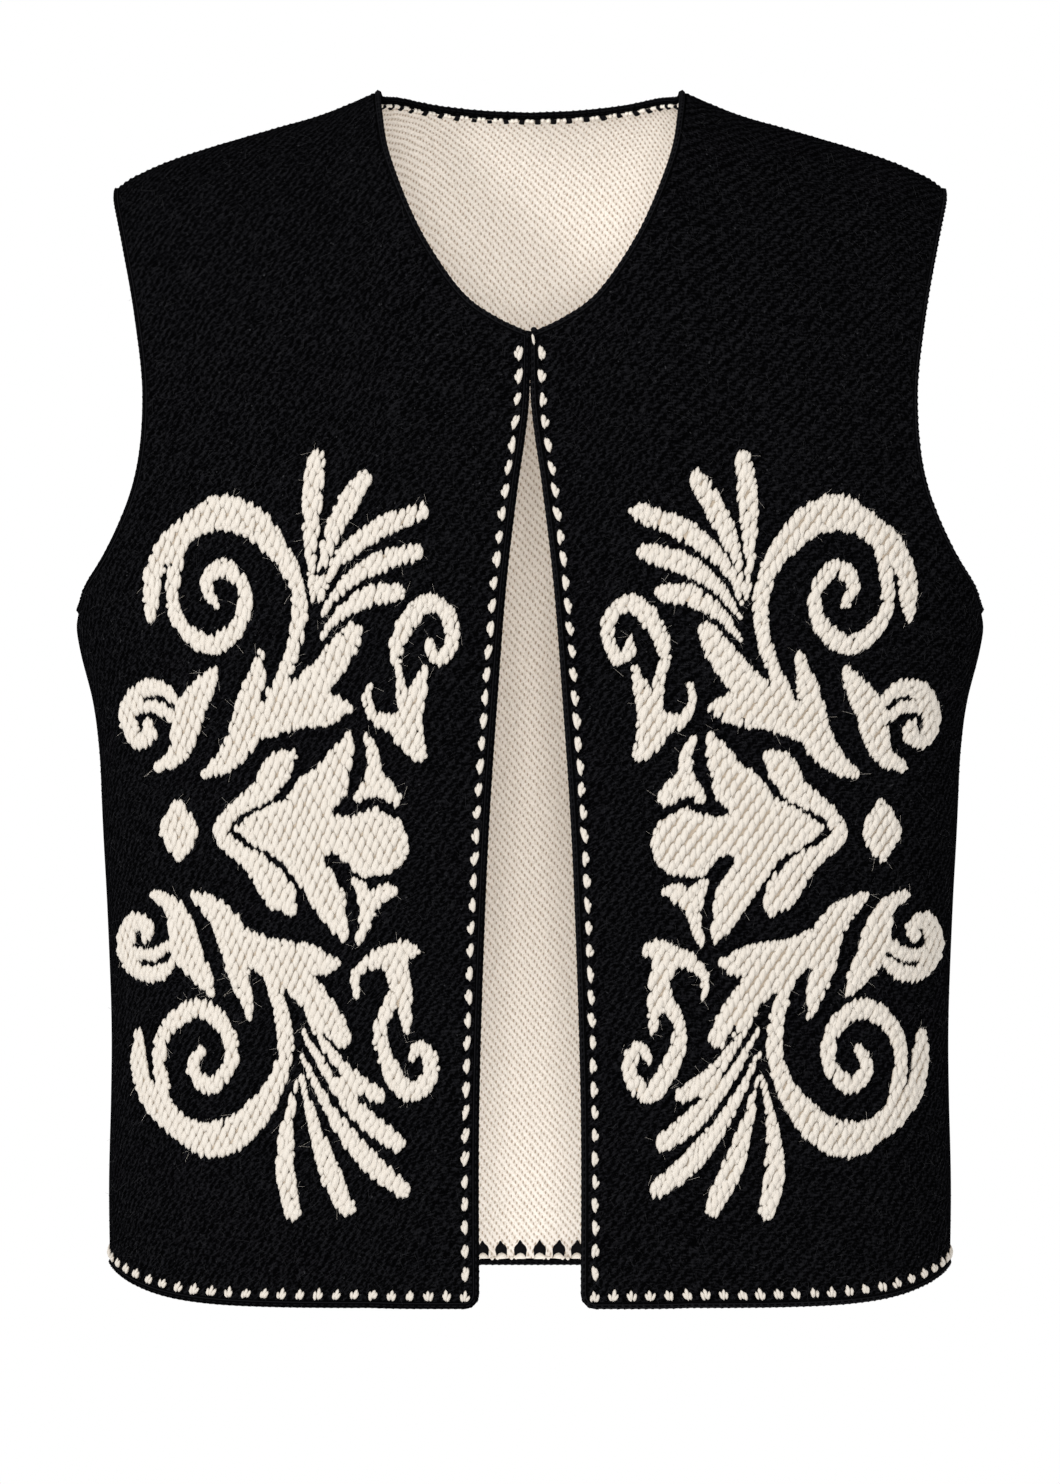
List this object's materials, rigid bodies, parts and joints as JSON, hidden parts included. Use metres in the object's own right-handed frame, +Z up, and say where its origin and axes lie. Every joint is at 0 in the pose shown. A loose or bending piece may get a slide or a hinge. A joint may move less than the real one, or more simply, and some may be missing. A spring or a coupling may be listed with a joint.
{
  "type": "embroidered vest",
  "caption": "Sleeveless open-front vest of thick black double-faced wool with raised cream scroll embroidery, in its worn hollow form.",
  "frame": {"origin": "midway between the two shoulder neck points, where the wearer's shoulders carry the vest", "axes": "+Z up, fronts face -Y, the wearer's left is +X"},
  "size_m": [0.463, 0.2039, 0.6087],
  "materials": {
    "black_wool": "thick twill-like wool knit, matt with a faint grey nap",
    "black_edging": "crocheted wool edging, matt",
    "cream_reverse": "cream wool reverse of the double-faced cloth, matt",
    "cream_yarn": "plump two-ply cream wool yarn, matt"
  },
  "bodies": {
    "root": {"front_left": "black_wool", "front_right": "black_wool", "back": "black_wool", "neck_edging": "black_edging", "front_edging_left": "black_edging", "front_edging_right": "black_edging", "hem_edging_back": "black_edging", "armhole_edging_left": "black_edging", "armhole_edging_right": "black_edging"}
  },
  "joints": []
}
